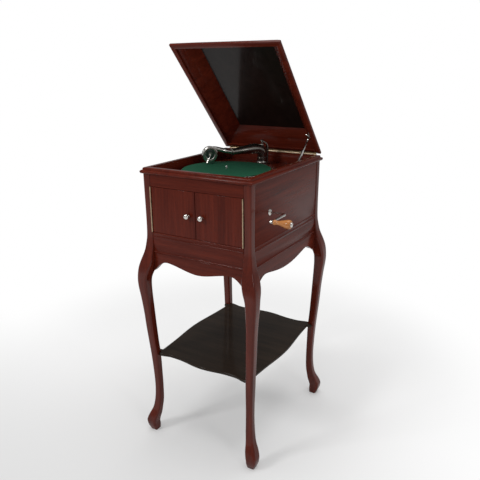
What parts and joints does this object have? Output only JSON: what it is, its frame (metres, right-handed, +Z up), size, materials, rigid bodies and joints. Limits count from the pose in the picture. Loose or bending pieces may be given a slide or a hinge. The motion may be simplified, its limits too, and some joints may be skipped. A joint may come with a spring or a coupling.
{
  "type": "gramophone cabinet",
  "caption": "Wind-up gramophone in a tall wooden cabinet on cabriole legs, hipped lid open, with tone arm, turntable, side crank, front doors and a lower shelf.",
  "frame": {"origin": "centre of the bounding box on the floor plane, with the lid open as stored", "axes": "+Z up, -Y towards the front with the doors, +X towards the side with the crank"},
  "size_m": [0.5588, 0.5702, 1.3829],
  "materials": {
    "mahogany": "high-gloss red-brown polish",
    "dark_wood": "dark satin polish",
    "lid_panel": "near-black gloss polish",
    "raw_wood": "plain sanded",
    "handle_wood": "varnished light orange wood",
    "brass": "polished",
    "nickel": "polished nickel plate",
    "steel": "plain",
    "iron": "black paint",
    "felt": "matt green felt",
    "mica": "dark translucent mica"
  },
  "bodies": {
    "cabinet": {"leg_front_left": "mahogany", "leg_front_right": "mahogany", "leg_rear_left": "mahogany", "leg_rear_right": "mahogany", "side_panel_left": "mahogany", "side_panel_right": "mahogany", "back_panel": "mahogany", "front_top_rail": "mahogany", "front_lower_rail": "mahogany", "bottom_board": "raw_wood", "apron_front": "mahogany", "apron_rear": "mahogany", "apron_left": "mahogany", "apron_right": "mahogany", "lower_shelf": "dark_wood", "rim_frame": "mahogany", "motor_board": "mahogany", "board_bearers": "raw_wood", "door_hinge_fixed_leaf_left": "brass", "door_hinge_fixed_leaf_right": "brass", "lid_hinge_fixed_leaf": "brass", "lid_stay_track": "nickel", "tone_arm_base": "nickel", "crank_escutcheon": "nickel", "motor_frame": "iron", "horn": "raw_wood", "horn_elbow": "iron", "horn_slats": "mahogany"},
    "left_door": {"door_left": "mahogany", "door_knob_left": "nickel", "door_hinge_door_leaf_left": "brass"},
    "right_door": {"door_right": "mahogany", "door_knob_right": "nickel", "door_hinge_door_leaf_right": "brass"},
    "lid": {"lid_rim": "mahogany", "lid_slopes": "mahogany", "lid_top_panel": "lid_panel", "lid_hinge_lid_leaf": "brass", "lid_stay_bracket": "nickel"},
    "lid_stay": {"lid_stay_bar": "nickel"},
    "turntable": {"turntable_plate": "nickel", "turntable_felt": "felt", "turntable_spindle": "steel"},
    "intermediate": {"intermediate_wheel": "brass"},
    "barrel": {"spring_barrel": "brass", "mainspring": "steel"},
    "governor_shaft": {"governor": "brass"},
    "crank_shaft": {"crank": "nickel"},
    "crank_grip": {"crank_handle": "handle_wood"},
    "winding": {"winding_arbor": "steel"},
    "tone_arm": {"tone_arm_tube": "nickel"},
    "sound_box": {"gooseneck": "nickel", "sound_box_housing": "nickel", "sound_box_front_ring": "nickel", "diaphragm": "mica", "needle_bar": "nickel", "needle": "steel"},
    "needle_clamp": {"needle_screw": "nickel"},
    "brake": {"brake_lever": "nickel"}
  },
  "joints": [
    {"name": "lid_hinge", "type": "hinge", "parent": "cabinet", "child": "lid", "pos_m": [-0.04582, 0.2577, 0.99575], "axis": [1, 0, 0], "range_deg": [0, 47.5]},
    {"name": "lid_stay_pivot", "type": "hinge", "parent": "lid", "child": "lid_stay", "pos_m": [0.13018, 0.19299, 1.07199], "axis": [1, 0, 0], "range_deg": [-84, 0]},
    {"name": "left_door_hinge", "type": "hinge", "parent": "cabinet", "child": "left_door", "pos_m": [-0.22132, -0.2563, 0.8575], "axis": [0, 0, -1], "range_deg": [0, 110]},
    {"name": "right_door_hinge", "type": "hinge", "parent": "cabinet", "child": "right_door", "pos_m": [0.12968, -0.2563, 0.8575], "axis": [0, 0, 1], "range_deg": [0, 110]},
    {"name": "turntable_spin", "type": "hinge", "parent": "cabinet", "child": "turntable", "pos_m": [-0.04942, -0.0593, 0.97], "axis": [0, 0, 1], "continuous": true},
    {"name": "intermediate_spin", "type": "hinge", "parent": "cabinet", "child": "intermediate", "pos_m": [-0.00792, -0.0823, 0.93], "axis": [0, 0, 1], "continuous": true},
    {"name": "barrel_spin", "type": "hinge", "parent": "cabinet", "child": "barrel", "pos_m": [0.02418, -0.133, 0.91], "axis": [0, 0, 1], "continuous": true},
    {"name": "governor_spin", "type": "hinge", "parent": "cabinet", "child": "governor_shaft", "pos_m": [-0.07102, -0.06, 0.905], "axis": [0, 1, 0], "continuous": true},
    {"name": "crank_spin", "type": "hinge", "parent": "cabinet", "child": "crank_shaft", "pos_m": [0.15418, -0.133, 0.869], "axis": [1, 0, 0], "continuous": true},
    {"name": "winding_spin", "type": "hinge", "parent": "cabinet", "child": "winding", "pos_m": [0.02418, -0.133, 0.9], "axis": [0, 0, 1], "continuous": true},
    {"name": "grip_spin", "type": "hinge", "parent": "crank_shaft", "child": "crank_grip", "pos_m": [0.24718, -0.229, 0.869], "axis": [1, 0, 0], "continuous": true},
    {"name": "tone_arm_swing", "type": "hinge", "parent": "cabinet", "child": "tone_arm", "pos_m": [-0.04182, 0.176, 1], "axis": [0, 0, 1], "range_deg": [-5, 68]},
    {"name": "sound_box_tilt", "type": "hinge", "parent": "tone_arm", "child": "sound_box", "pos_m": [-0.04182, 0.176, 1.012], "axis": [-0.5225, -0.8526, 0], "range_deg": [0, 165]},
    {"name": "needle_clamp_turn", "type": "hinge", "parent": "sound_box", "child": "needle_clamp", "pos_m": [-0.1466, -0.02372, 0.9844], "axis": [0.8526, -0.5225, 0], "range_deg": [0, 360]},
    {"name": "brake_turn", "type": "hinge", "parent": "cabinet", "child": "brake", "pos_m": [0.08718, -0.158, 0.97], "axis": [0, 0, 1], "range_deg": [-25, 0]}
  ],
  "couplings": [
    {"joint": "lid_stay_pivot", "follows": "lid_hinge", "ratio": -1.7579},
    {"joint": "intermediate_spin", "follows": "turntable_spin", "ratio": -0.26667},
    {"joint": "barrel_spin", "follows": "turntable_spin", "ratio": 0.053333},
    {"joint": "governor_spin", "follows": "turntable_spin", "ratio": 10},
    {"joint": "winding_spin", "follows": "crank_spin", "ratio": -0.5}
  ]
}
